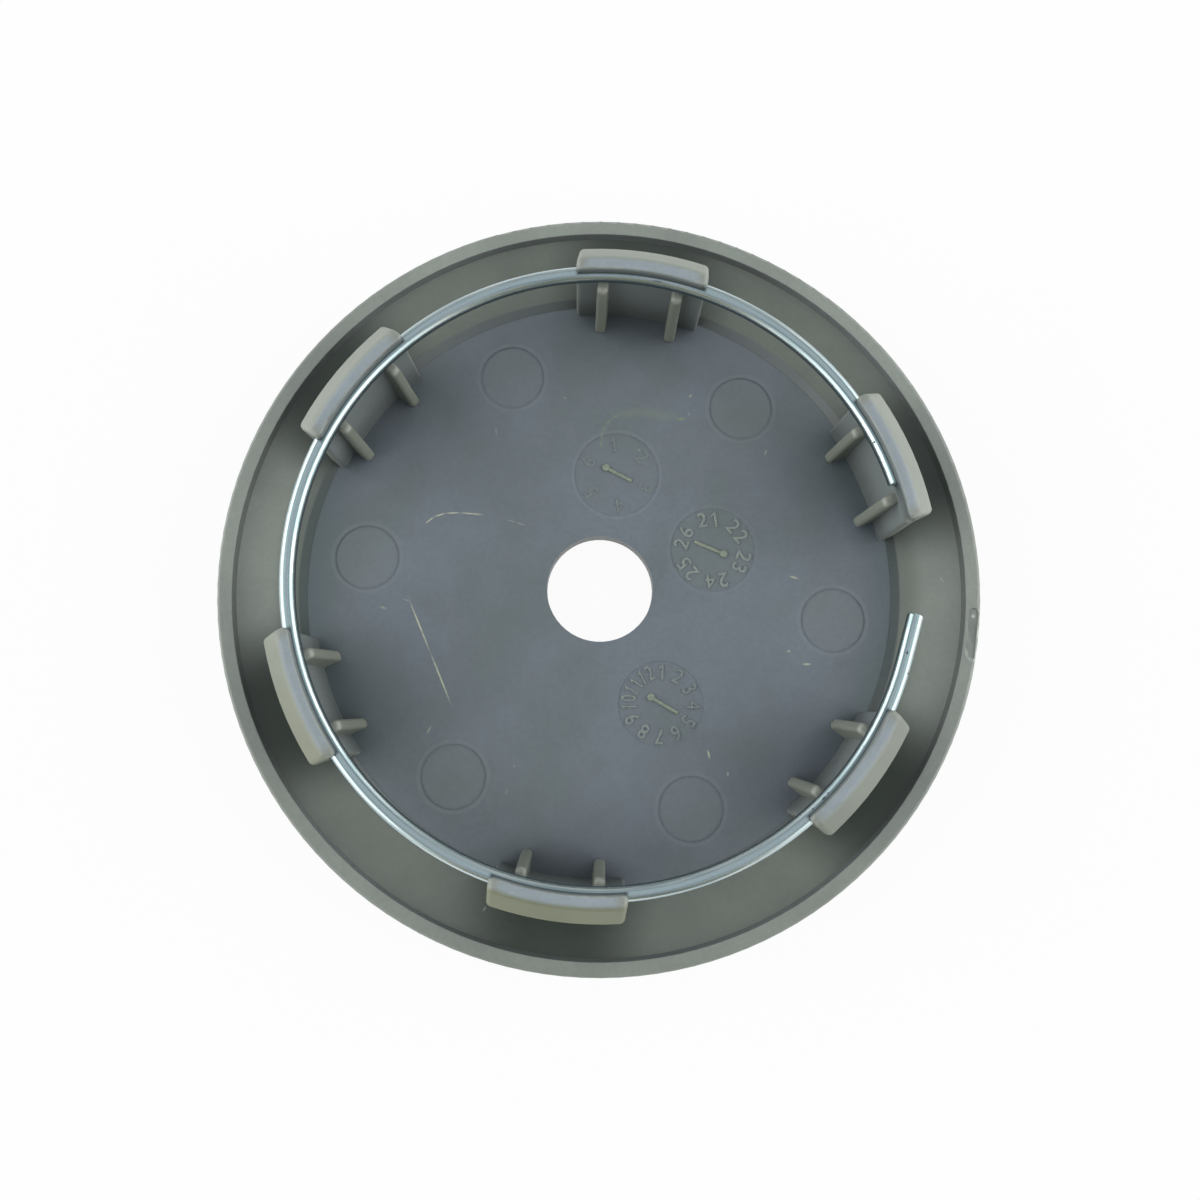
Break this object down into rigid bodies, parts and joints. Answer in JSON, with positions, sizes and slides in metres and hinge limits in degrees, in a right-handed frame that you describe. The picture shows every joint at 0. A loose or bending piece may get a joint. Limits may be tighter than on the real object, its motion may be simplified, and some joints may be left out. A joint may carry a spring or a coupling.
{
  "type": "wheel centre cap",
  "caption": "Round grey plastic wheel centre cap with a centre hole, a rim lip, a ring of hooked snap tabs on its back and an open spring wire ring that braces the tabs outwards.",
  "frame": {"origin": "centre of the cap on the plane of its front land, on which it lies front face down", "axes": "+Z along the cap's axis, from the front face towards the snap tabs; +X and +Y across the disc, with the tabs at 22.3 degrees and every 60 degrees from there"},
  "size_m": [0.07, 0.07, 0.0137],
  "materials": {
    "grey_plastic": "moulded grey plastic, satin on the floor and finely matt on the flange and lip",
    "zinc_wire": "bright zinc-plated drawn spring wire"
  },
  "bodies": {
    "root": {"cap_moulding": "grey_plastic", "retaining_wire": "zinc_wire"}
  },
  "joints": []
}
